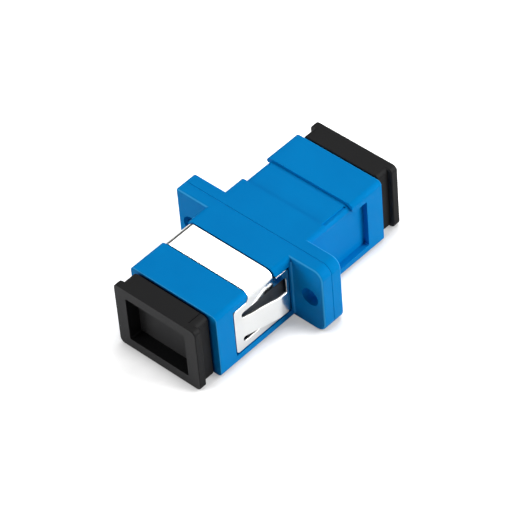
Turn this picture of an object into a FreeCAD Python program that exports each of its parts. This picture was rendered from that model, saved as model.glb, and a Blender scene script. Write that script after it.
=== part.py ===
import FreeCAD, Part
import math
import os

os.makedirs("parts", exist_ok=True)

# All sizes are in millimetres. X runs across the two ears of the flange, Y along the
# connector axis and Z up. The origin is on the connector axis, midway through the flange.
# The clip sits on the front half, which points along -Y.

# Housing halves
body_width = 12.9
body_height = 9.3
body_length = 27.4
body_edge_round = 0.6
mouth_edge_chamfer = 0.06
collar_length = 5.0

# Flange
ear_hole_diameter = 2.4
ear_hole_spacing = 18.0
ear_hole_margin = 2.0
flange_width = ear_hole_spacing + 2 * ear_hole_margin
flange_thickness = 3.2
round_ear_corner = 1.3
square_ear_corner = 0.3
flange_edge_round = 0.28
ear_root_round = 0.3
weld_seam_chamfer = 0.05

# Connector port in each half
port_width = 9.1
port_height = 7.5
port_lead_in = 0.3
keyway_width = 4.2
keyway_length = 6.0

# T-shaped recess for the panel clip
stem_width = 4.35
bar_from_flange = 0.35
bar_length = 9.15
bar_height = 6.84
bar_corner_round = 0.15
tee_corner_round = 0.6
pocket_depth = 0.7
corner_relief_depth = 0.2
corner_relief_width = 0.95
corner_relief_margin = 0.35

# Panel clip
clip_thickness = 0.25
clip_bend_radius = 0.8
clip_below_body = 0.05
clip_seat_gap = 0.02
clip_edge_gap = 0.18
clip_corner_round = 0.4
tongue_height = 3.0
slit_width = 0.7
tongue_root_margin = 1.3
slit_tip_margin = 1.17
window_margin = 0.42
tongue_end_gap = 1.05
tongue_slope = 14.5
tongue_tip_slope = 0.5
tongue_tip_length = 1.35
tongue_tip_bend_radius = 3.0

# Latch inserts
plate_width = 10.6
plate_height = 7.9
plate_thickness = 0.96
plate_gap = 0.02
plate_edge_gap = 0.05
plate_corner_round = 0.4
arm_thickness = 0.7
arm_height = 4.4
arm_spacing = 5.5
arm_length = 8.65
hook_reach = 0.45
hook_length = 1.2
hook_round = 0.1
tube_end_chamfer = 0.15

# Alignment sleeve and the tubes that hold it
sleeve_outer = 3.2
sleeve_inner = 2.5
sleeve_length = 11.4
sleeve_slit = 0.45
sleeve_gap = 0.05
sleeve_end_gap = 0.15
holder_wall = 0.65
holder_lip_length = 0.35
holder_lip_catch = 0.15

# Dust caps
cap_rim_step = 0.3
cap_height_step = 0.07
cap_rim_thickness = 1.0
cap_block_step = 0.85
cap_block_length = 1.75
cap_corner_round = 0.65
cap_face_edge_round = 0.12
cap_back_edge_chamfer = 0.1
cap_gap = 0.3
plug_gap = 0.05
plug_length = 4.7
plug_wall = 0.75
plug_corner_round = 0.4
plug_lead_in = 0.2
cap_pocket_width = 8.9
cap_pocket_height = 6.35
cap_pocket_depth = 1.75
cap_pocket_round = 0.2
cap_septum = 0.9
score_from_middle = 4.5
score_width = 0.1
score_depth = 0.12
score_length = 1.9

# Positions along Y that several pieces share, measured outward from the weld seam
half_length = body_length / 2
half_flange = flange_thickness / 2
plate_pocket_depth = plate_thickness + 2 * plate_gap
stem_end = half_length - collar_length
stem_start = stem_end - stem_width
bar_start = half_flange + bar_from_flange
bar_end = bar_start + bar_length
clip_inner_x = body_width / 2 - clip_below_body - clip_thickness
clip_inner_z = body_height / 2 - clip_below_body - clip_thickness
past = 1.0
same = 1e-6


def point(x, y, z):
    """A point or a direction."""
    return FreeCAD.Vector(x, y, z)


def block(x0, x1, y0, y1, z0, z1):
    """A box between two corners."""
    return Part.makeBox(x1 - x0, y1 - y0, z1 - z0, point(x0, y0, z0))


def centred(width, y0, y1, height):
    """A box centred on the connector axis."""
    return block(-width / 2, width / 2, y0, y1, -height / 2, height / 2)


def rod(radius, y0, y1, x=0.0):
    """A cylinder along Y."""
    return Part.makeCylinder(radius, y1 - y0, point(x, y0, 0), point(0, 1, 0))


def long_edges(shape):
    """The straight edges that run along Y."""
    found = []
    for edge in shape.Edges:
        straight = isinstance(edge.Curve, Part.Line)
        if straight and abs(edge.Curve.Direction.y) > 1 - same:
            found.append(edge)
    return found


def edges_at(shape, y):
    """The edges that lie in one plane across the connector axis."""
    found = []
    for edge in shape.Edges:
        box = edge.BoundBox
        if abs(box.YMin - y) < same and abs(box.YMax - y) < same:
            found.append(edge)
    return found


def rounded(width, y0, y1, height, radius):
    """A centred box whose four long edges are rounded."""
    box = centred(width, y0, y1, height)
    return box.makeFillet(radius, long_edges(box))


def outline(corners, place):
    """A flat face through corner points, each given as (a, b, corner radius)."""
    count = len(corners)
    starts = []
    ends = []
    middles = []
    for index in range(count):
        a, b, radius = corners[index]
        corner = place(a, b)
        before = place(*corners[index - 1][:2]) - corner
        after = place(*corners[(index + 1) % count][:2]) - corner
        before.normalize()
        after.normalize()
        half_angle = before.getAngle(after) / 2
        reach = radius / math.tan(half_angle)
        starts.append(corner + before * reach)
        ends.append(corner + after * reach)
        towards = before + after
        if radius > 0:
            towards.normalize()
            centre_distance = radius / math.sin(half_angle)
            middles.append(corner + towards * (centre_distance - radius))
        else:
            middles.append(None)
    edges = []
    for index in range(count):
        if middles[index] is not None:
            arc = Part.Arc(starts[index], middles[index], ends[index])
            edges.append(arc.toShape())
        following = starts[(index + 1) % count]
        edges.append(Part.makeLine(ends[index], following))
    return Part.Face(Part.Wire(edges))


def seen_from_side(a, b):
    """Places outline points in the plane across X: a along Y, b along Z."""
    return point(0, a, b)


def seen_from_above(a, b):
    """Places outline points in the plane across Z: a along X, b along Y."""
    return point(a, b, 0)


def seen_from_end(a, b):
    """Places outline points in the plane across Y: a along X, b along Z."""
    return point(a, 0, b)


def across(face, x0, x1):
    """A face in the plane across X, carried from x0 to x1."""
    return face.translated(point(x0, 0, 0)).extrude(point(x1 - x0, 0, 0))


def upward(face, height):
    """A face in the plane across Z, carried half the height each way."""
    return face.translated(point(0, 0, -height / 2)).extrude(point(0, 0, height))


def outward(face, y0, y1):
    """A face in the plane across Y, carried from y0 to y1."""
    return face.translated(point(0, y0, 0)).extrude(point(0, y1 - y0, 0))


def both_sides(shape):
    """A shape together with its mirror image across the YZ plane."""
    return shape.fuse(shape.mirror(point(0, 0, 0), point(1, 0, 0)))


def turned(shape):
    """The same piece facing the other way, turned half a turn about Z."""
    return shape.rotated(point(0, 0, 0), point(0, 0, 1), 180)


def funnel(width0, height0, y0, width1, height1, y1):
    """A tapered block from one rectangle to another along Y."""
    ends = []
    for width, height, y in ((width0, height0, y0), (width1, height1, y1)):
        a = width / 2
        b = height / 2
        corners = [point(-a, y, -b), point(a, y, -b), point(a, y, b), point(-a, y, b)]
        ends.append(Part.makePolygon(corners + [corners[0]]))
    return Part.makeLoft(ends, True, True)


def tee_prism(inset, bar_corner):
    """The T of the clip recess as a bar right across the body, drawn in by an inset."""
    top = body_height / 2 + past
    near = bar_start + inset
    far = bar_end - inset
    stem_near = stem_start + inset
    stem_far = stem_end - inset
    low = -bar_height / 2 + inset
    high = bar_height / 2 - inset
    corners = [
        (near, low, bar_corner),
        (far, low, bar_corner),
        (far, high, bar_corner),
        (stem_far, high, tee_corner_round),
        (stem_far, top, 0),
        (stem_near, top, 0),
        (stem_near, high, tee_corner_round),
        (near, high, bar_corner),
    ]
    reach = body_width / 2 + past
    return across(outline(corners, seen_from_side), -reach, reach)


def arch(half_width, top, corner, y0, y1):
    """A block open below, as wide and high as one surface of the clip's U."""
    bottom = -body_height
    corners = [
        (-half_width, bottom, 0),
        (half_width, bottom, 0),
        (half_width, top, corner),
        (-half_width, top, corner),
    ]
    return outward(outline(corners, seen_from_end), y0, y1)


def clip_recess():
    """The shallow T over the top and down both sides, and the deeper pocket in its bar."""
    seat_x = clip_inner_x - clip_seat_gap
    seat_z = clip_inner_z - clip_seat_gap
    seat_corner = clip_bend_radius - clip_seat_gap
    seat = arch(seat_x, seat_z, seat_corner, 0, body_length)
    recess = tee_prism(0, bar_corner_round).cut(seat)
    low = -bar_height / 2
    high = bar_height / 2
    corners = [
        (bar_start, low, bar_corner_round),
        (bar_end, low, bar_corner_round),
        (bar_end, high, bar_corner_round),
        (bar_start, high, bar_corner_round),
    ]
    floor = body_width / 2 - pocket_depth
    pocket = across(outline(corners, seen_from_side), floor, body_width / 2 + past)
    relief = block(
        body_width / 2 - corner_relief_width,
        body_width / 2 + past,
        stem_start + corner_relief_margin,
        stem_end - corner_relief_margin,
        seat_z - corner_relief_depth,
        body_height / 2 + past,
    )
    return recess.fuse([both_sides(pocket), both_sides(relief)])


def ear_holes():
    """The two screw holes through the ears."""
    hole = rod(ear_hole_diameter / 2, -past, half_flange + past, ear_hole_spacing / 2)
    return both_sides(hole)


def connector_port():
    """The opening for one connector, the slot for its key and the pocket for the plate."""
    inner = plate_pocket_depth - same
    port = centred(port_width, inner, half_length + past, port_height)
    mouth = funnel(
        port_width,
        port_height,
        half_length - port_lead_in,
        port_width + 2 * port_lead_in,
        port_height + 2 * port_lead_in,
        half_length,
    )
    keyway = block(
        -keyway_width / 2,
        keyway_width / 2,
        half_length - keyway_length,
        half_length + past,
        -body_height / 2 - past,
        0,
    )
    plate_pocket = centred(
        plate_width + 2 * plate_edge_gap,
        -past,
        plate_pocket_depth,
        plate_height + 2 * plate_edge_gap,
    )
    return port.fuse([mouth, keyway, plate_pocket])


def flange_plate(left_corner, right_corner):
    """Half the thickness of the flange, with the corner rounds of its two ears."""
    x = flange_width / 2
    z = body_height / 2
    corners = [(-x, -z, left_corner), (x, -z, right_corner), (x, z, right_corner), (-x, z, left_corner)]
    flange = outward(outline(corners, seen_from_end), 0, half_flange)
    return flange.makeFillet(flange_edge_round, edges_at(flange, half_flange))


def ear_root():
    """The round in the corner between one side of the body and its ear."""
    side = body_width / 2
    low = half_flange - ear_root_round
    high = half_flange + ear_root_round
    straight = body_height / 2 - body_edge_round
    corner = block(side - ear_root_round, side + ear_root_round, low, high, -straight, straight)
    hollow = Part.makeCylinder(ear_root_round, 2 * straight, point(side + ear_root_round, high, -straight))
    return corner.cut(hollow)


def housing_half(left_corner, right_corner):
    """One moulded half of the housing, from the weld seam out to its mouth."""
    body = rounded(body_width, half_flange / 2, half_length, body_height, body_edge_round)
    body = body.makeChamfer(mouth_edge_chamfer, edges_at(body, half_length))
    flange = flange_plate(left_corner, right_corner)
    flange = flange.makeChamfer(weld_seam_chamfer, edges_at(flange, 0))
    half = body.fuse([flange, both_sides(ear_root())]).removeSplitter()
    half = half.cut(connector_port())
    half = half.cut(clip_recess())
    return half.cut(ear_holes())


def latch_arm():
    """One springy arm with a hook that catches the shoulder of a connector."""
    inner = arm_spacing / 2
    outer = inner + arm_thickness
    root = plate_pocket_depth - plate_gap - plate_thickness / 2
    tip = plate_pocket_depth + arm_length
    catch = tip - hook_length
    nose = tip - hook_length / 2
    corners = [
        (outer, root, 0),
        (outer, tip, hook_round),
        (inner + hook_round, tip, hook_round),
        (inner - hook_reach, nose, hook_round),
        (inner - hook_reach, catch, 0),
        (inner, catch, hook_round),
        (inner, root, 0),
    ]
    return upward(outline(corners, seen_from_above), arm_height)


def latch_insert():
    """A moulded plate with the tube for the sleeve and two hooked arms."""
    bore = sleeve_outer / 2 + sleeve_gap
    lip_start = sleeve_length / 2 + sleeve_end_gap
    tube_end = lip_start + holder_lip_length
    plate_end = plate_gap + plate_thickness
    plate = rounded(plate_width, plate_gap, plate_end, plate_height, plate_corner_round)
    tube = rod(bore + holder_wall, plate_gap, tube_end)
    tube = tube.makeChamfer(tube_end_chamfer, edges_at(tube, tube_end))
    insert = plate.fuse([tube, both_sides(latch_arm())])
    lip_opening = sleeve_outer / 2 - holder_lip_catch
    insert = insert.cut(rod(bore, 0, lip_start))
    return insert.cut(rod(lip_opening, lip_start - past, tube_end + past))


def alignment_sleeve():
    """The split tube that lines up the two ferrules."""
    half = sleeve_length / 2
    sleeve = rod(sleeve_outer / 2, -half, half).cut(rod(sleeve_inner / 2, -half, half))
    slit = block(-sleeve_slit / 2, sleeve_slit / 2, -half, half, 0, sleeve_outer)
    return sleeve.cut(slit)


def clip_tongue(root, tip):
    """One tongue, bent out of the side of the clip so that it rises towards the flange."""
    outer = clip_inner_x + clip_thickness
    angle = math.radians(tongue_slope)
    tip_angle = math.radians(tongue_tip_slope)
    bend = tip + tongue_tip_length
    bend_x = outer + (root - bend) * math.tan(angle)
    tip_x = bend_x + tongue_tip_length * math.tan(tip_angle)
    across_bend = clip_thickness / math.cos((angle - tip_angle) / 2)
    middle_angle = (angle + tip_angle) / 2
    inner_bend_x = bend_x - across_bend * math.cos(middle_angle)
    inner_bend_y = bend - across_bend * math.sin(middle_angle)
    inner_tip_x = tip_x - clip_thickness * math.cos(tip_angle)
    inner_tip_y = tip - clip_thickness * math.sin(tip_angle)
    corners = [
        (outer, root + clip_thickness, 0),
        (outer, root, clip_bend_radius),
        (bend_x, bend, tongue_tip_bend_radius + clip_thickness),
        (tip_x, tip, 0),
        (inner_tip_x, inner_tip_y, 0),
        (inner_bend_x, inner_bend_y, tongue_tip_bend_radius),
        (clip_inner_x, root - clip_thickness * math.tan(angle / 2), clip_bend_radius + clip_thickness),
        (clip_inner_x, root + clip_thickness, 0),
    ]
    return upward(outline(corners, seen_from_above), tongue_height)


def panel_clip():
    """The spring clip, cut and bent from one sheet: a strap, two side bars, two tongues."""
    outer_x = clip_inner_x + clip_thickness
    outer_z = clip_inner_z + clip_thickness
    outer = arch(outer_x, outer_z, clip_bend_radius + clip_thickness, 0, body_length)
    inner = arch(clip_inner_x, clip_inner_z, clip_bend_radius, 0, body_length)
    sheet = outer.cut(inner).common(tee_prism(clip_edge_gap, clip_corner_round))
    near = bar_start + clip_edge_gap + window_margin
    root = bar_end - clip_edge_gap - tongue_root_margin
    slit_tip = bar_end - clip_edge_gap - slit_tip_margin
    reach = outer_x + past
    low = tongue_height / 2
    high = low + slit_width
    tip_round = slit_width / 2 - same
    slit_corners = [(near, low, 0), (slit_tip, low, tip_round), (slit_tip, high, tip_round), (near, high, 0)]
    slit = across(outline(slit_corners, seen_from_side), -reach, reach)
    other_slit = slit.mirror(point(0, 0, 0), point(0, 0, 1))
    window = block(-reach, reach, near, root, -low, low)
    sheet = sheet.cut(slit.fuse([other_slit, window]))
    tongues = both_sides(clip_tongue(root, near + tongue_end_gap))
    return sheet.fuse(tongues).removeSplitter()


def dust_cap():
    """A moulded cap: a hollow plug in the port, a stepped block and a sunk face."""
    inner_face = half_length + cap_gap
    rim_start = inner_face + cap_block_length
    face = rim_start + cap_rim_thickness
    cap_width = body_width - 2 * cap_rim_step
    cap_height = body_height - 2 * cap_height_step
    core_width = body_width - 2 * cap_block_step
    rim = rounded(cap_width, rim_start, face, cap_height, cap_corner_round)
    rim = rim.makeFillet(cap_face_edge_round, edges_at(rim, face))
    rim = rim.makeChamfer(cap_back_edge_chamfer, edges_at(rim, rim_start))
    core = rounded(core_width, inner_face, rim_start + past / 2, cap_height, cap_corner_round)
    core = core.makeChamfer(cap_back_edge_chamfer, edges_at(core, inner_face))
    plug_width = port_width - 2 * plug_gap
    plug_height = port_height - 2 * plug_gap
    plug_end = inner_face - plug_length
    plug = rounded(plug_width, plug_end, inner_face + past / 2, plug_height, plug_corner_round)
    plug = plug.makeChamfer(plug_lead_in, edges_at(plug, plug_end))
    sunk = rounded(cap_pocket_width, face - cap_pocket_depth, face + past, cap_pocket_height, cap_pocket_round)
    hollow_end = face - cap_pocket_depth - cap_septum
    hollow_width = plug_width - 2 * plug_wall
    hollow_height = plug_height - 2 * plug_wall
    hollow = centred(hollow_width, plug_end - past, hollow_end, hollow_height)
    return rim.fuse([core, plug]).removeSplitter().cut(sunk).cut(hollow)


def scored(cap):
    """The cap with a fine score beside its top corner, cut back from the inner face."""
    x = -score_from_middle
    top = body_height / 2 - cap_height_step
    start = half_length + cap_gap
    return cap.cut(
        block(
            x - score_width / 2,
            x + score_width / 2,
            start - past,
            start + score_length,
            top - score_depth,
            top + past,
        )
    )


insert = latch_insert()
cap = dust_cap()

pieces = {
    "housing_front": turned(housing_half(round_ear_corner, square_ear_corner)),
    "housing_rear": housing_half(square_ear_corner, round_ear_corner),
    "latch_insert_front": turned(insert),
    "latch_insert_rear": insert,
    "alignment_sleeve": alignment_sleeve(),
    "panel_clip": turned(panel_clip()),
    "dust_cap_front": turned(scored(cap)),
    "dust_cap_rear": cap,
}

for node, shape in pieces.items():
    solids = shape.Solids
    if len(solids) != 1 or not solids[0].isValid():
        raise ValueError(f"{node} isn't one sound solid")
    solids[0].exportStep(f"parts/{node}.step")
    print(node, round(solids[0].Volume, 2), "mm3")
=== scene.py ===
import math

import bmesh
import bpy
from mathutils import Matrix, Vector
from mathutils.geometry import delaunay_2d_cdt


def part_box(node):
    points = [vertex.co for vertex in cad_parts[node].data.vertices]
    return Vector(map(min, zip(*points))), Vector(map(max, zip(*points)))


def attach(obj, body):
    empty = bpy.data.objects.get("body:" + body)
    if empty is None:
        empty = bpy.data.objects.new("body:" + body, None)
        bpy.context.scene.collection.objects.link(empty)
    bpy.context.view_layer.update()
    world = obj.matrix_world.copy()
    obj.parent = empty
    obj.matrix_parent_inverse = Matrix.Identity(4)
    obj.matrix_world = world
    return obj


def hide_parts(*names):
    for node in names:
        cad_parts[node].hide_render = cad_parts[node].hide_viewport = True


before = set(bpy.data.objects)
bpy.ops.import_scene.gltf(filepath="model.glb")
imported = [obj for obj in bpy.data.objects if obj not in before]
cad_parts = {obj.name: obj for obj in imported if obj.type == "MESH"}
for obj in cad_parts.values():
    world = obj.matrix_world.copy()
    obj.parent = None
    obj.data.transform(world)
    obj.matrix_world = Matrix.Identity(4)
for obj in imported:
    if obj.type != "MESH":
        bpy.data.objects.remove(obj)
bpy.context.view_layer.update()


# Floor and studio light
# A white sweep under a large softbox that hangs high behind the object, with a small softbox in
# front to the left and a tall one behind to the right. No lamp stands on the camera's side.
def linear(hex_colour):
    """An sRGB hex colour as linear values."""
    values = []
    for start in (1, 3, 5):
        part = int(hex_colour[start:start + 2], 16) / 255
        if part <= 0.04045:
            values.append(part / 12.92)
        else:
            values.append(((part + 0.055) / 1.055) ** 2.4)
    return (*values, 1.0)


def add_node(tree, kind, settings=(), links=()):
    """Adds a node with its settings and with links from other nodes' outputs.

    A socket goes by its name, or by its number where sockets share a name.
    """
    node = tree.nodes.new(kind)
    for name, value in dict(settings).items():
        if isinstance(name, int) or name in node.inputs:
            node.inputs[name].default_value = value
        else:
            setattr(node, name, value)
    for name, output in dict(links).items():
        tree.links.new(output, node.inputs[name])
    return node


# A colour mix takes its two colours at these sockets and gives its result at this output.
mix_a = 6
mix_b = 7
mix_result = 2


def new_material(name):
    """An empty node material and its tree."""
    material = bpy.data.materials.new(name)
    material.use_nodes = True
    material.node_tree.nodes.clear()
    return material, material.node_tree


def direction(azimuth, elevation):
    """The way to a place round the object, in degrees from its front and from level."""
    turn = math.radians(azimuth)
    rise = math.radians(elevation)
    return Vector((math.sin(turn) * math.cos(rise), -math.cos(turn) * math.cos(rise), math.sin(rise)))


mm = 0.001
floor_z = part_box("housing_front")[0][2]
floor_half = 0.6
floor_mesh = bpy.data.meshes.new("floor")
floor_form = bmesh.new()
floor_corners = []
for x, y in ((-1, -1), (1, -1), (1, 1), (-1, 1)):
    floor_corners.append(floor_form.verts.new((x * floor_half, y * floor_half, floor_z)))
floor_form.faces.new(floor_corners)
floor_form.to_mesh(floor_mesh)
floor_form.free()
floor = bpy.data.objects.new("floor", floor_mesh)
bpy.context.scene.collection.objects.link(floor)

# White paper: it is seen as clean white, with a painted contact shadow that greys it close under the
# object, and sends a little less light back to it. Its fibres are drawn coarser than life, 750 to the
# metre or 1.3 mm apart.
fibres_per_metre = 750
paper, tree = new_material("white_paper")
path = add_node(tree, "ShaderNodeLightPath")
seen = add_node(tree, "ShaderNodeMath", {"operation": "MAXIMUM"},
                {0: path.outputs["Is Camera Ray"], 1: path.outputs["Is Glossy Ray"]})
seen_all = add_node(tree, "ShaderNodeMath", {"operation": "MAXIMUM"},
                    {0: seen.outputs[0], 1: path.outputs["Is Transmission Ray"]})
fibres = add_node(tree, "ShaderNodeTexNoise", {"Scale": fibres_per_metre * 2 * floor_half, "Detail": 3.0})
paper_tone = add_node(tree, "ShaderNodeValToRGB", links={"Fac": fibres.outputs["Fac"]})
paper_tone.color_ramp.elements[0].color = linear("#f4f4f4")
paper_tone.color_ramp.elements[1].color = linear("#ffffff")
# Painted shadow: the paper's colour darkens where ambient occlusion finds the object close above it.
touch = add_node(tree, "ShaderNodeAmbientOcclusion", {"Distance": 3.0 * mm, "samples": 16})
painted_contact_shadow = add_node(tree, "ShaderNodeMapRange", {"From Min": 0.45, "From Max": 0.95, "To Min": 0.5},
                       {"Value": touch.outputs["AO"]})
near_tone = add_node(tree, "ShaderNodeMix", {"data_type": "RGBA", "blend_type": "MULTIPLY", "Factor": 1.0},
                     {mix_a: paper_tone.outputs["Color"], mix_b: painted_contact_shadow.outputs["Result"]})
dull = add_node(tree, "ShaderNodeBsdfDiffuse", {"Color": linear("#dcdcdc")})
clean = add_node(tree, "ShaderNodeBsdfDiffuse", links={"Color": near_tone.outputs[mix_result]})
lift_by = add_node(tree, "ShaderNodeMapRange", {"To Min": 0.3, "To Max": 0.7},
                   {"Value": path.outputs["Is Camera Ray"]})
lift = add_node(tree, "ShaderNodeEmission", links={
    "Color": near_tone.outputs[mix_result], "Strength": lift_by.outputs["Result"]})
bright = add_node(tree, "ShaderNodeAddShader", links={0: clean.outputs[0], 1: lift.outputs[0]})
paper_mix = add_node(tree, "ShaderNodeMixShader", links={
    "Fac": seen_all.outputs[0], 1: dull.outputs[0], 2: bright.outputs[0]})
add_node(tree, "ShaderNodeOutputMaterial", links={"Surface": paper_mix.outputs[0]})
floor_mesh.materials.append(paper)

# A white room, dim where it lights the object. The steel also mirrors a dark card that stands
# behind it to the left, which draws its far bend as a dark line.
world = bpy.data.worlds.new("studio")
world.use_nodes = True
tree = world.node_tree
tree.nodes.clear()
path = add_node(tree, "ShaderNodeLightPath")
sight = add_node(tree, "ShaderNodeTexCoord")
dark_card = direction(azimuth=-120, elevation=12.4)
aim = add_node(tree, "ShaderNodeVectorMath", {"operation": "DOT_PRODUCT", 1: dark_card},
               {0: sight.outputs["Generated"]})
off_card = add_node(tree, "ShaderNodeMapRange", {
    "From Min": 0.90, "From Max": 0.95, "To Min": 1.0, "To Max": 0.0}, {"Value": aim.outputs["Value"]})
mirrored = add_node(tree, "ShaderNodeMath", {"operation": "MULTIPLY"},
                    {0: path.outputs["Is Glossy Ray"], 1: off_card.outputs["Result"]})
seen = add_node(tree, "ShaderNodeMath", {"operation": "MAXIMUM"},
                {0: path.outputs["Is Camera Ray"], 1: mirrored.outputs[0]})
seen_all = add_node(tree, "ShaderNodeMath", {"operation": "MAXIMUM"},
                    {0: seen.outputs[0], 1: path.outputs["Is Transmission Ray"]})
room = add_node(tree, "ShaderNodeBackground", {"Color": linear("#ffffff"), "Strength": 0.12})
backdrop = add_node(tree, "ShaderNodeBackground", {"Color": linear("#ffffff"), "Strength": 1.0})
sky = add_node(tree, "ShaderNodeMixShader", links={
    "Fac": seen_all.outputs[0], 1: room.outputs[0], 2: backdrop.outputs[0]})
add_node(tree, "ShaderNodeOutputWorld", links={"Surface": sky.outputs[0]})
bpy.context.scene.world = world

softbox_distance = 0.45


def add_softbox(name, azimuth, elevation, width, height, power):
    """A rectangular lamp that faces the object from one direction."""
    towards = direction(azimuth, elevation)
    lamp = bpy.data.lights.new(name, "AREA")
    lamp.shape = "RECTANGLE"
    lamp.size = width
    lamp.size_y = height
    lamp.energy = power
    holder = bpy.data.objects.new(name, lamp)
    holder.matrix_world = (Matrix.Translation(towards * softbox_distance)
                           @ towards.to_track_quat("Z", "Y").to_matrix().to_4x4())
    bpy.context.scene.collection.objects.link(holder)


add_softbox("softbox_top", azimuth=200, elevation=54, width=0.50, height=0.26, power=0.60)
add_softbox("softbox_left", azimuth=-36, elevation=20, width=0.24, height=0.20, power=1.05)
add_softbox("softbox_right", azimuth=126, elevation=30, width=0.26, height=0.48, power=2.4)

# Camera
# A long lens from the front right and well above, so that the adapter runs from the lower
# left to the upper right of the picture. Its place is fitted to the corners in the photo.
camera_azimuth = 46.122
camera_elevation = 44.981
camera_roll = math.radians(-5.249)
camera_distance = 368.532 * mm
camera_target = Vector((0.019, -0.626, 0.0)) * mm
back = direction(camera_azimuth, camera_elevation)
level_right = (-back).cross(Vector((0, 0, 1))).normalized()
level_up = level_right.cross(-back)
right = math.cos(camera_roll) * level_right + math.sin(camera_roll) * level_up
up = -math.sin(camera_roll) * level_right + math.cos(camera_roll) * level_up
lens = bpy.data.cameras.new("camera")
lens.sensor_width = 36.0
lens.lens = 231.39
camera = bpy.data.objects.new("camera", lens)
turn = Matrix((right, up, back)).transposed().to_4x4()
camera.matrix_world = Matrix.Translation(camera_target + back * camera_distance) @ turn
bpy.context.scene.collection.objects.link(camera)
bpy.context.scene.camera = camera


# Housing halves
# Two injection mouldings in blue PBT, welded face to face at the middle of the flange. The
# front half carries the clip, and the rear half shows the empty T-shaped recess.
def soften_edges(piece, radius):
    """Rounds a moulded or ground piece's sharp edges and keeps its flat faces flat."""
    weld = piece.modifiers.new("join_corners", "WELD")
    weld.merge_threshold = 0.0005 * mm
    merge = piece.modifiers.new("one_face_a_plane", "DECIMATE")
    merge.decimate_type = "DISSOLVE"
    merge.angle_limit = math.radians(0.5)
    bevel = piece.modifiers.new("rounded_edges", "BEVEL")
    bevel.width = radius
    bevel.segments = 3
    bevel.limit_method = "ANGLE"
    bevel.angle_limit = math.radians(24)
    flats = piece.modifiers.new("even_flats", "WEIGHTED_NORMAL")
    flats.mode = "FACE_AREA"
    flats.weight = 100
    for face in piece.data.polygons:
        face.use_smooth = True


def finish_node(name, material):
    """Gives a carried-over node its material."""
    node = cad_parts[name]
    for slot in node.material_slots:
        slot.material = material
    return node


# Satin moulded PBT: an even blue with a weak bluish shine and slow flow marks, with painted shade that
# deepens it in its gaps, painted highlights that make the rounds of its end edges paler, and painted grey
# shade on the wall behind the spring's tongues. The mould's fine texture is drawn coarser than life, at
# 0.25 mm.
blue, tree = new_material("moulded_blue_pbt")
place = add_node(tree, "ShaderNodeTexCoord")
flow = add_node(tree, "ShaderNodeTexNoise", {"Scale": 1 / (6 * mm), "Detail": 2.0},
                {"Vector": place.outputs["Object"]})
tone = add_node(tree, "ShaderNodeValToRGB", links={"Fac": flow.outputs["Fac"]})
tone.color_ramp.elements[0].position = 0.35
tone.color_ramp.elements[1].position = 0.65
tone.color_ramp.elements[0].color = linear("#007cc2")
tone.color_ramp.elements[1].color = linear("#0080c6")
grain = add_node(tree, "ShaderNodeTexNoise", {"Scale": 1 / (0.25 * mm), "Detail": 3.0},
                 {"Vector": place.outputs["Object"]})
relief = add_node(tree, "ShaderNodeBump", {"Strength": 0.25, "Distance": 0.004 * mm},
                  {"Height": grain.outputs["Fac"]})

# The painted highlights sit on the rounds between an end face and a side, but not on those at the weld.
normal = add_node(tree, "ShaderNodeSeparateXYZ", links={"Vector": place.outputs["Normal"]})
facing = add_node(tree, "ShaderNodeMath", {"operation": "ABSOLUTE"}, {0: normal.outputs["Y"]})
edge = add_node(tree, "ShaderNodeValToRGB", links={"Fac": facing.outputs[0]})
edge.color_ramp.elements[0].position = 0.25
edge.color_ramp.elements[1].position = 0.98
edge.color_ramp.elements[1].color = linear("#000000")
edge_highlight_strength = 0.6
for position in (0.6, 0.8):
    edge.color_ramp.elements.new(position).color = (edge_highlight_strength, edge_highlight_strength, edge_highlight_strength, 1)
spot = add_node(tree, "ShaderNodeSeparateXYZ", links={"Vector": place.outputs["Object"]})
from_weld = add_node(tree, "ShaderNodeMath", {"operation": "ABSOLUTE"}, {0: spot.outputs["Y"]})
off_weld = add_node(tree, "ShaderNodeMapRange", {"From Min": 0.2 * mm, "From Max": 0.25 * mm},
                    {"Value": from_weld.outputs[0]})
edge_highlight_mask = add_node(tree, "ShaderNodeMath", {"operation": "MULTIPLY"},
                {0: edge.outputs["Color"], 1: off_weld.outputs["Result"]})
edge_highlighted = add_node(tree, "ShaderNodeMix", {"data_type": "RGBA", mix_b: linear("#4dbcf8")},
                  {"Factor": edge_highlight_mask.outputs[0], mix_a: tone.outputs["Color"]})

# The painted grey shade fills a box on each side wall behind the tongues, given here in millimetres by its
# middle and its reach either way.
from_middle = add_node(tree, "ShaderNodeMath", {"operation": "ABSOLUTE"}, {0: spot.outputs["X"]})
within = []
for source, middle, reach in ((from_middle.outputs[0], 5.75, 0.3), (spot.outputs["Y"], -6.5, 4.65),
                              (spot.outputs["Z"], 0.0, 3.43)):
    within.append(add_node(tree, "ShaderNodeMath", {"operation": "COMPARE", 1: middle * mm, 2: reach * mm},
                           {0: source}))
on_wall = add_node(tree, "ShaderNodeMath", {"operation": "MULTIPLY"},
                   {0: within[0].outputs[0], 1: within[1].outputs[0]})
under_clip = add_node(tree, "ShaderNodeMath", {"operation": "MULTIPLY"},
                      {0: on_wall.outputs[0], 1: within[2].outputs[0]})
clip_shade_painted = add_node(tree, "ShaderNodeMix", {"data_type": "RGBA", mix_b: linear("#5a5e63")},
                   {"Factor": under_clip.outputs[0], mix_a: edge_highlighted.outputs[mix_result]})

# Painted shade: the blue darkens and deepens where ambient occlusion finds narrow gaps and hollows.
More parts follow.
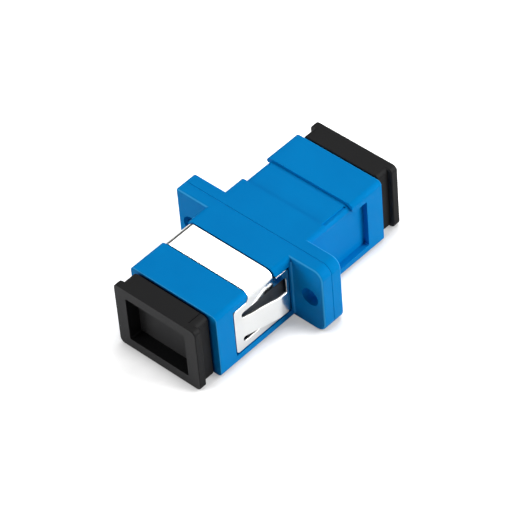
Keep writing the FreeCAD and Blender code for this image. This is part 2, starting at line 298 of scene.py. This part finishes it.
gap_shade = add_node(tree, "ShaderNodeAmbientOcclusion", {"Distance": 1.2 * mm, "samples": 8})
gap_depth = add_node(tree, "ShaderNodeValToRGB", links={"Fac": gap_shade.outputs["AO"]})
gap_depth.color_ramp.elements[0].position = 0.15
gap_depth.color_ramp.elements[0].color = linear("#2c3c58")
gap_depth.color_ramp.elements[1].position = 0.55
gap_depth.color_ramp.elements.new(0.35).color = linear("#a0bede")
shaded = add_node(tree, "ShaderNodeMix", {"data_type": "RGBA", "blend_type": "MULTIPLY", "Factor": 1.0},
                  {mix_a: clip_shade_painted.outputs[mix_result], mix_b: gap_depth.outputs["Color"]})
pbt = add_node(tree, "ShaderNodeBsdfPrincipled", {
    "Roughness": 0.34, "IOR": 1.5, "Specular IOR Level": 0.04, "Specular Tint": linear("#3aa4ff")},
    {"Base Color": shaded.outputs[mix_result], "Normal": relief.outputs["Normal"]})
add_node(tree, "ShaderNodeOutputMaterial", links={"Surface": pbt.outputs[0]})
for name in ("housing_front", "housing_rear"):
    soften_edges(finish_node(name, blue), radius=0.08 * mm)

# Latch inserts
# Moulded in white PBT, they sit back to back at the weld and hold the sleeve; only their
# hooks show, and only with the caps off.

# Natural PBT: an off-white with a soft shine.
white, tree = new_material("moulded_white_pbt")
place = add_node(tree, "ShaderNodeTexCoord")
flow = add_node(tree, "ShaderNodeTexNoise", {"Scale": 1 / (3 * mm), "Detail": 2.0},
                {"Vector": place.outputs["Object"]})
tone = add_node(tree, "ShaderNodeValToRGB", links={"Fac": flow.outputs["Fac"]})
tone.color_ramp.elements[0].color = linear("#dcdcd6")
tone.color_ramp.elements[1].color = linear("#e6e6e1")
pbt = add_node(tree, "ShaderNodeBsdfPrincipled", {"Roughness": 0.42, "IOR": 1.5},
               {"Base Color": tone.outputs["Color"]})
add_node(tree, "ShaderNodeOutputMaterial", links={"Surface": pbt.outputs[0]})
for name in ("latch_insert_front", "latch_insert_rear"):
    soften_edges(finish_node(name, white), radius=0.05 * mm)

# Alignment sleeve
# A ground zirconia tube with one slit, which lies loose in the tubes of the two inserts and
# lines up the two ferrules.

# Ground zirconia: ivory white and glossy.
zirconia, tree = new_material("ground_zirconia")
place = add_node(tree, "ShaderNodeTexCoord")
flow = add_node(tree, "ShaderNodeTexNoise", {"Scale": 1 / (1.5 * mm), "Detail": 2.0},
                {"Vector": place.outputs["Object"]})
tone = add_node(tree, "ShaderNodeValToRGB", links={"Fac": flow.outputs["Fac"]})
tone.color_ramp.elements[0].color = linear("#e9e6de")
tone.color_ramp.elements[1].color = linear("#f1efe8")
ceramic = add_node(tree, "ShaderNodeBsdfPrincipled", {"Roughness": 0.18, "IOR": 2.1},
                   {"Base Color": tone.outputs["Color"]})
add_node(tree, "ShaderNodeOutputMaterial", links={"Surface": ceramic.outputs[0]})
soften_edges(finish_node("alignment_sleeve", zirconia), radius=0.05 * mm)

# Panel clip
# Spring steel strip, blanked and bent: a strap over the top, a bar on each side and a tongue
# in each bar. It is drawn flat, as the press cuts it, and then bent, so its cut edges run
# evenly round every bend.

# Lengths are in millimetres until the mesh is made. Near, far and the other places along the
# clip are distances in front of the middle of the flange. The outer face lies at strap_top
# over the axis and at bar_side from it, and inner_bend is the inner radius between the two.
sheet = 0.25
strap_top = 4.60
bar_side = 6.40
inner_bend = 0.8

# The outline of strap and bars, and the radii of its corners.
strap_near = 4.53
strap_far = 8.52
bar_near = 2.13
bar_far = 10.92
bar_half_height = 3.24
tee_round = 0.6
bar_round = 0.4

# The window in each bar. Its slits run along both sides of the tongue towards the root.
window_near = 2.55
window_round = 0.3
tongue_half = 1.5
tongue_corner = 0.15
slit = 0.7
slit_end = 9.75

# The tongue's side view: where it bends, how far it leans out and its middle layer's radii.
tongue_root = 9.62
tongue_bend_at = 4.95
tongue_tip = 3.60
tongue_slope = math.radians(14.5)
tip_slope = math.radians(0.5)
root_bend = 0.925
tip_bend = 3.125

# The cut edge: the radius of its rounds and how deep its smooth part goes from the outer face.
edge_round = 0.04
bright_cut = 0.07

# How many steps each bend and round is divided into.
corner_steps = 7
strap_steps = 12
root_steps = 4
tip_steps = 6
edge_steps = 3

# Lengths and turns under this count as none.
tiny = 1e-6

# The sheet's middle layer, which keeps its length when the flat strip is bent.
middle_bend = inner_bend + sheet / 2
middle_top = strap_top - sheet / 2
middle_side = bar_side - sheet / 2
flat_half = bar_side - sheet - inner_bend
bend_length = middle_bend * math.pi / 2
side_start = flat_half + bend_length
bend_centre = middle_top - middle_bend

# The tongue's path outward from its root is an arc, a slope, an arc back and a straight tip.
root_reach = root_bend * math.tan(tongue_slope / 2)
tip_reach = tip_bend * math.tan((tongue_slope - tip_slope) / 2)
tongue_start = tongue_root + root_reach
root_arc = root_bend * tongue_slope
tip_arc = tip_bend * (tongue_slope - tip_slope)
slope_length = (tongue_root - tongue_bend_at) / math.cos(tongue_slope) - root_reach - tip_reach
tip_length = (tongue_bend_at - tongue_tip) / math.cos(tip_slope) - tip_reach
tongue_length = root_arc + slope_length + tip_arc + tip_length


def along_tongue(distance):
    """Run, lift and slope at a distance along the bent tongue from its root."""
    run = lift = slope = 0.0
    for length, end_slope in ((root_arc, tongue_slope), (slope_length, tongue_slope),
                              (tip_arc, tip_slope), (tip_length, tip_slope)):
        part = min(distance, length)
        turned = (end_slope - slope) * part / length
        if abs(turned) < tiny:
            run += part * math.cos(slope)
            lift += part * math.sin(slope)
        else:
            radius = part / turned
            run += radius * (math.sin(slope + turned) - math.sin(slope))
            lift += radius * (math.cos(slope) - math.cos(slope + turned))
        slope += turned
        distance -= part
        if distance <= 0:
            break
    return run, lift, slope


def bent(across, along):
    """Where a point of the flat strip's middle layer goes, with its three directions."""
    side = math.copysign(1, across)
    flat = abs(across)
    if flat <= flat_half:
        middle = Vector((across, -along, middle_top))
        return middle, Vector((1, 0, 0)), Vector((0, -1, 0)), Vector((0, 0, 1))
    turn = min((flat - flat_half) / middle_bend, math.pi / 2)
    out = Vector((side * math.sin(turn), 0, math.cos(turn)))
    down = Vector((math.cos(turn), 0, -side * math.sin(turn)))
    middle = Vector((side * flat_half, -along, bend_centre)) + out * middle_bend
    if flat <= side_start:
        return middle, down, Vector((0, -1, 0)), out
    z = bend_centre - (flat - side_start)
    if abs(z) > tongue_half + slit / 2 or along >= tongue_start:
        return Vector((side * middle_side, -along, z)), down, Vector((0, -1, 0)), out
    run, lift, slope = along_tongue(tongue_start - along)
    middle = Vector((side * (middle_side + lift), run - tongue_start, z))
    back_along = Vector((-side * math.sin(slope), -math.cos(slope), 0))
    return middle, down, back_along, Vector((side * math.cos(slope), -math.sin(slope), 0))


def across_at(z):
    """How far from the middle of the flat strip a height on the bent side lies."""
    return side_start + bend_centre - z


def rounded_loop(corners):
    """Points and outward directions round an outline of right-angled corners."""
    loop = []
    for index, (across, along, radius) in enumerate(corners):
        corner = Vector((across, along))
        before = (Vector(corners[index - 1][:2]) - corner).normalized()
        after = (Vector(corners[(index + 1) % len(corners)][:2]) - corner).normalized()
        convex = before.cross(after) < 0
        centre = corner + (before + after) * radius
        for step in range(corner_steps + 1):
            turn = math.pi / 2 * step / corner_steps
            from_centre = -after * math.cos(turn) - before * math.sin(turn)
            outward = from_centre if convex else -from_centre
            point = centre + from_centre * radius
            if not loop or (point - loop[-1][0]).length > tiny:
                loop.append((point, outward))
    return loop


# A point this near a bend's line already marks the crossing.
near_line = 0.005


def split_loop(loop, axis, places):
    """Adds a point wherever an outline crosses a line that the sheet bends along."""
    for place in places:
        fresh = []
        for index, (point, outward) in enumerate(loop):
            other, other_outward = loop[(index + 1) % len(loop)]
            fresh.append((point, outward))
            gap = point[axis] - place
            other_gap = other[axis] - place
            if gap * other_gap < 0 and min(abs(gap), abs(other_gap)) > near_line:
                share = gap / (gap - other_gap)
                crossing = point.lerp(other, share)
                fresh.append((crossing, outward.lerp(other_outward, share).normalized()))
        loop = fresh
    return loop


# The flat outlines: the strip's own, and a window in each bar that leaves the tongue standing.
bar_top = across_at(bar_half_height)
bar_bottom = across_at(-bar_half_height)
strip_corners = [
    (bar_top, strap_near, tee_round), (bar_top, bar_near, bar_round), (bar_bottom, bar_near, bar_round),
    (bar_bottom, bar_far, bar_round), (bar_top, bar_far, bar_round), (bar_top, strap_far, tee_round),
]
strip_corners += [(-across, along, radius) for across, along, radius in reversed(strip_corners)]
slit_edges = [across_at(z) for z in (tongue_half + slit, tongue_half, -tongue_half, -tongue_half - slit)]
slit_round = slit / 2
tip_at = tongue_start - tongue_length
window_corners = [
    (slit_edges[0], window_near, window_round), (slit_edges[0], slit_end, slit_round),
    (slit_edges[1], slit_end, slit_round), (slit_edges[1], tip_at, tongue_corner),
    (slit_edges[2], tip_at, tongue_corner), (slit_edges[2], slit_end, slit_round),
    (slit_edges[3], slit_end, slit_round), (slit_edges[3], window_near, window_round),
]
other_window = [(-across, along, radius) for across, along, radius in reversed(window_corners)]
strap_bends = []
for side in (-1, 1):
    for step in range(strap_steps + 1):
        strap_bends.append(side * (flat_half + bend_length * step / strap_steps))
tongue_bends = [tongue_start - root_arc * step / root_steps for step in range(root_steps + 1)]
for step in range(tip_steps + 1):
    tongue_bends.append(tongue_start - root_arc - slope_length - tip_arc * step / tip_steps)
loops = [split_loop(rounded_loop(strip_corners), 0, strap_bends)]
for corners in (window_corners, other_window):
    loops.append(split_loop(rounded_loop(corners), 1, tongue_bends))

# The rounded profile across a cut edge: (distance in from the cut, height, turn of the surface).
# The cut is smooth and bright near the outer face and torn and dull near the inner one.
half_sheet = sheet / 2
edge_profile = []
for step in range(edge_steps + 1):
    turn = math.pi / 2 * step / edge_steps
    height = half_sheet - edge_round * (1 - math.cos(turn))
    edge_profile.append((edge_round * (1 - math.sin(turn)), height, turn))
torn_from = len(edge_profile)
edge_profile.append((0, half_sheet - bright_cut, math.pi / 2))
for step in range(edge_steps + 1):
    turn = math.pi / 2 * (1 + step / edge_steps)
    height = edge_round * (1 + math.cos(turn)) - half_sheet
    edge_profile.append((edge_round * (1 - math.sin(turn)), height, turn))
torn_to = torn_from + 2

# The cut edges: a column of points, from the outer face to the inner one, at each point of
# each outline, and faces between neighbouring columns.
clip_form = bmesh.new()
clip_normals = []
flat_points = []
flat_edges = []
flat_loops = []
columns = []
for loop in loops:
    first = len(flat_points)
    for index, (point, outward) in enumerate(loop):
        column = []
        for inward, height, turn in edge_profile:
            flat = point - outward * inward
            middle, across_way, along_way, up_way = bent(flat.x, flat.y)
            column.append(clip_form.verts.new((middle + up_way * height) * mm))
            sideways = across_way * outward.x + along_way * outward.y
            clip_normals.append(sideways * math.sin(turn) + up_way * math.cos(turn))
        columns.append(column)
        flat_points.append(point - outward * edge_round)
        flat_edges.append((first + index, first + (index + 1) % len(loop)))
    flat_loops.append(flat_points[first:])
for start, end in flat_edges:
    for level in range(len(edge_profile) - 1):
        upper = (columns[start][level], columns[end][level])
        lower = (columns[end][level + 1], columns[start][level + 1])
        face = clip_form.faces.new(upper + lower)
        face.material_index = int(torn_from <= level < torn_to)


# Points whose places along a bend differ by less than this bend alike.
alike = 0.0001


def join_across(chosen, axis):
    """Edges straight across the sheet between points that bend by the same amount."""
    for index, first in enumerate(chosen):
        for second in chosen[index + 1:]:
            if abs(flat_points[first][axis] - flat_points[second][axis]) < alike:
                flat_edges.append((first, second))


# The outer and inner faces are divided straight across the strap at its bends, and straight
# across each tongue at the tongue's own bends.
outer_count = len(loops[0])
margin = 0.01
bend_points = []
for index in range(outer_count):
    if flat_half - margin < abs(flat_points[index].x) < side_start + margin:
        bend_points.append(index)
join_across(bend_points, 0)
for side in (-1, 1):
    tongue_points = []
    for index in range(outer_count, len(flat_points)):
        z = across_at(flat_points[index].x * side)
        if abs(z) < tongue_half + slit / 2 and flat_points[index].y > tip_at + tongue_corner:
            tongue_points.append(index)
    join_across(tongue_points, 1)


def inside(point, loop):
    """Whether a point lies inside a closed run of points."""
    found = False
    for index, start in enumerate(loop):
        end = loop[(index + 1) % len(loop)]
        if (start.y > point.y) != (end.y > point.y):
            reach = start.x + (point.y - start.y) * (end.x - start.x) / (end.y - start.y)
            if point.x < reach:
                found = not found
    return found


# The outer and inner faces fill what is inside the strip's outline and outside the windows.
all_triangles = 0
merge_within = 1e-7
points, _, triangles, origins, _, _ = delaunay_2d_cdt(
    flat_points, flat_edges, [], all_triangles, merge_within)
for corners in triangles:
    middle = sum((points[corner] for corner in corners), Vector((0, 0))) / len(corners)
    if sum(inside(middle, loop) for loop in flat_loops) != 1:
        continue
    around = [columns[origins[corner][0]] for corner in corners]
    clip_form.faces.new([column[0] for column in around])
    clip_form.faces.new([column[-1] for column in reversed(around)])
bmesh.ops.recalc_face_normals(clip_form, faces=clip_form.faces)
clip_mesh = bpy.data.meshes.new("panel_clip_strip")
clip_form.to_mesh(clip_mesh)
clip_form.free()
for face in clip_mesh.polygons:
    face.use_smooth = True
clip_mesh.normals_split_custom_set_from_vertices(clip_normals)
clip_strip = bpy.data.objects.new("panel_clip_strip", clip_mesh)
bpy.context.scene.collection.objects.link(clip_strip)
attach(clip_strip, "housing")
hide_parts("panel_clip")

# Cold-rolled stainless steel: almost a mirror, with faint rolling lines along the strap, 1.2 mm
# long and 0.1 mm apart, which is coarser than life.
line_length = 1.2 * mm
line_gap = 0.1 * mm
steel, tree = new_material("cold_rolled_stainless_steel")
place = add_node(tree, "ShaderNodeTexCoord")
rolled = add_node(tree, "ShaderNodeMapping", {"Scale": (1, line_length / line_gap, 1)},
                  {"Vector": place.outputs["Object"]})
lines = add_node(tree, "ShaderNodeTexNoise", {"Scale": 1 / line_length, "Detail": 3.0},
                 {"Vector": rolled.outputs["Vector"]})
sheen = add_node(tree, "ShaderNodeMapRange", {"To Min": 0.1, "To Max": 0.15},
                 {"Value": lines.outputs["Fac"]})
metal = add_node(tree, "ShaderNodeBsdfPrincipled", {"Base Color": linear("#ececea"), "Metallic": 1.0},
                 {"Roughness": sheen.outputs["Result"]})
add_node(tree, "ShaderNodeOutputMaterial", links={"Surface": metal.outputs[0]})
clip_mesh.materials.append(steel)

# The torn part of a punched edge: the same steel, grey and dull, with tears 0.12 mm across.
torn, tree = new_material("punched_steel_edge")
place = add_node(tree, "ShaderNodeTexCoord")
tears = add_node(tree, "ShaderNodeTexNoise", {"Scale": 1 / (0.12 * mm), "Detail": 3.0},
                 {"Vector": place.outputs["Object"]})
tone = add_node(tree, "ShaderNodeValToRGB", links={"Fac": tears.outputs["Fac"]})
tone.color_ramp.elements[0].color = linear("#6c6d6e")
tone.color_ramp.elements[1].color = linear("#9a9b9b")
metal = add_node(tree, "ShaderNodeBsdfPrincipled", {"Metallic": 1.0, "Roughness": 0.42},
                 {"Base Color": tone.outputs["Color"]})
add_node(tree, "ShaderNodeOutputMaterial", links={"Surface": metal.outputs[0]})
clip_mesh.materials.append(torn)

# Dust caps
# Soft black polyethylene mouldings, pushed into the ports by hand. Each is a hollow plug on a
# stepped block, with a pocket sunk in its outer face.

# Moulded polyethylene: matt black, with a painted sheen that makes its end faces a little greyer. The
# texture is drawn coarser than life, at 0.2 mm.
black, tree = new_material("moulded_black_polyethylene")
place = add_node(tree, "ShaderNodeTexCoord")
flow = add_node(tree, "ShaderNodeTexNoise", {"Scale": 1 / (4 * mm), "Detail": 3.0},
                {"Vector": place.outputs["Object"]})
tone = add_node(tree, "ShaderNodeValToRGB", links={"Fac": flow.outputs["Fac"]})
tone.color_ramp.elements[0].color = linear("#0c0c0d")
tone.color_ramp.elements[1].color = linear("#101011")
# Painted sheen: the faces that look along the axis are drawn greyer.
normal = add_node(tree, "ShaderNodeSeparateXYZ", links={"Vector": place.outputs["Normal"]})
facing = add_node(tree, "ShaderNodeMath", {"operation": "ABSOLUTE"}, {0: normal.outputs["Y"]})
end_face = add_node(tree, "ShaderNodeMapRange", {"From Min": 0.7, "From Max": 0.95},
                    {"Value": facing.outputs[0]})
painted_sheen = add_node(tree, "ShaderNodeMix", {"data_type": "RGBA", mix_b: linear("#303031")},
                  {"Factor": end_face.outputs["Result"], mix_a: tone.outputs["Color"]})
grain = add_node(tree, "ShaderNodeTexNoise", {"Scale": 1 / (0.2 * mm), "Detail": 3.0},
                 {"Vector": place.outputs["Object"]})
relief = add_node(tree, "ShaderNodeBump", {"Strength": 0.3, "Distance": 0.005 * mm},
                  {"Height": grain.outputs["Fac"]})
polyethylene = add_node(tree, "ShaderNodeBsdfPrincipled", {
    "Roughness": 0.52, "IOR": 1.5, "Specular IOR Level": 0.12},
    {"Base Color": painted_sheen.outputs[mix_result], "Normal": relief.outputs["Normal"]})
add_node(tree, "ShaderNodeOutputMaterial", links={"Surface": polyethylene.outputs[0]})
for name in ("dust_cap_front", "dust_cap_rear"):
    soften_edges(finish_node(name, black), radius=0.06 * mm)

# Colour view
# Colours show as they are written.
bpy.context.scene.view_settings.view_transform = "Standard"
bpy.context.view_layer.update()
